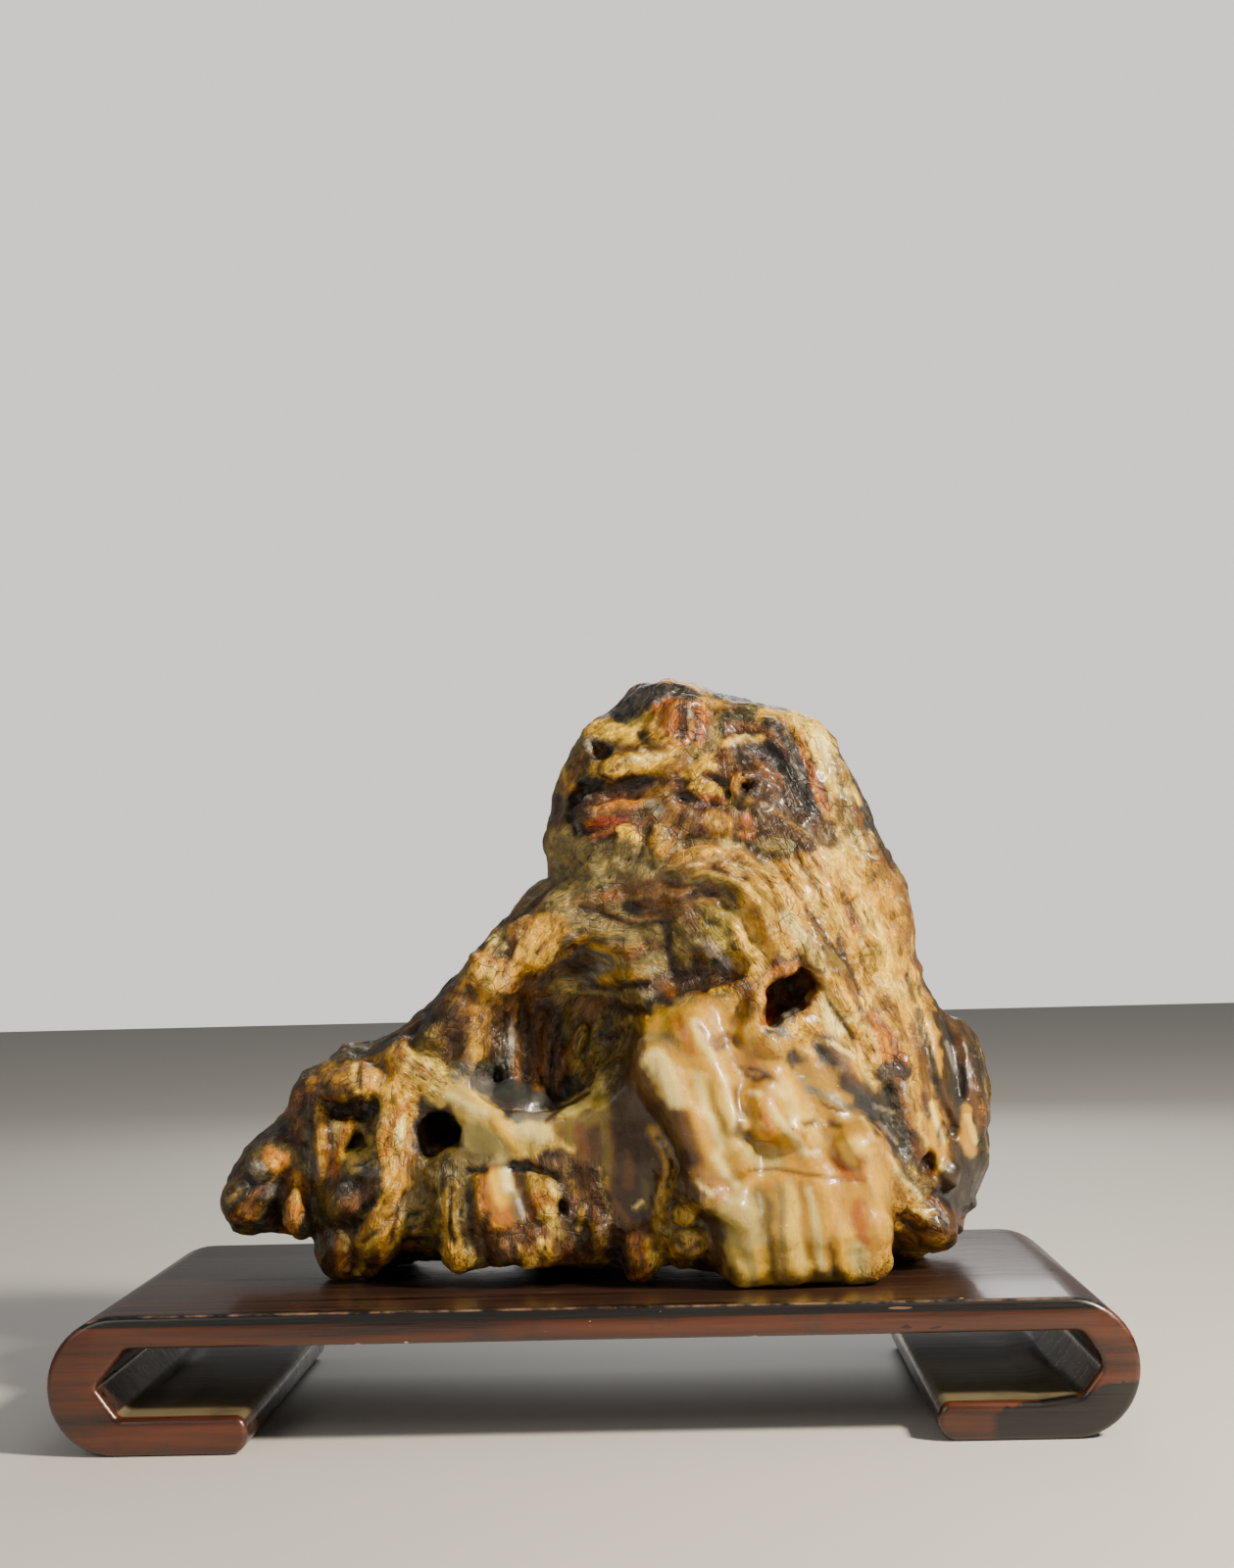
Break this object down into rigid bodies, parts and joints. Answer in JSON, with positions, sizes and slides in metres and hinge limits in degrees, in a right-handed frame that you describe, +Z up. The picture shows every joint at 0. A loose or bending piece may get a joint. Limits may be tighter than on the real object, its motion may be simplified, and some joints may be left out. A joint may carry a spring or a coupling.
{
  "type": "scholars rock",
  "caption": "Waxy yellow and brown stone with a cave-like hollow, deep holes and folded lobes, resting on a low dark wooden scroll stand.",
  "frame": {"origin": "on the table, under the middle of the stand", "axes": "+X along the stand to the right seen from the front, +Y from the front to the back, +Z up"},
  "size_m": [0.33, 0.15, 0.2398],
  "materials": {
    "rock": "waxy polish, cream, tan and dark brown",
    "stand": "dark brown lacquer, worn at the edges"
  },
  "bodies": {
    "root": {"rock": "rock", "stand": "stand"}
  },
  "joints": []
}
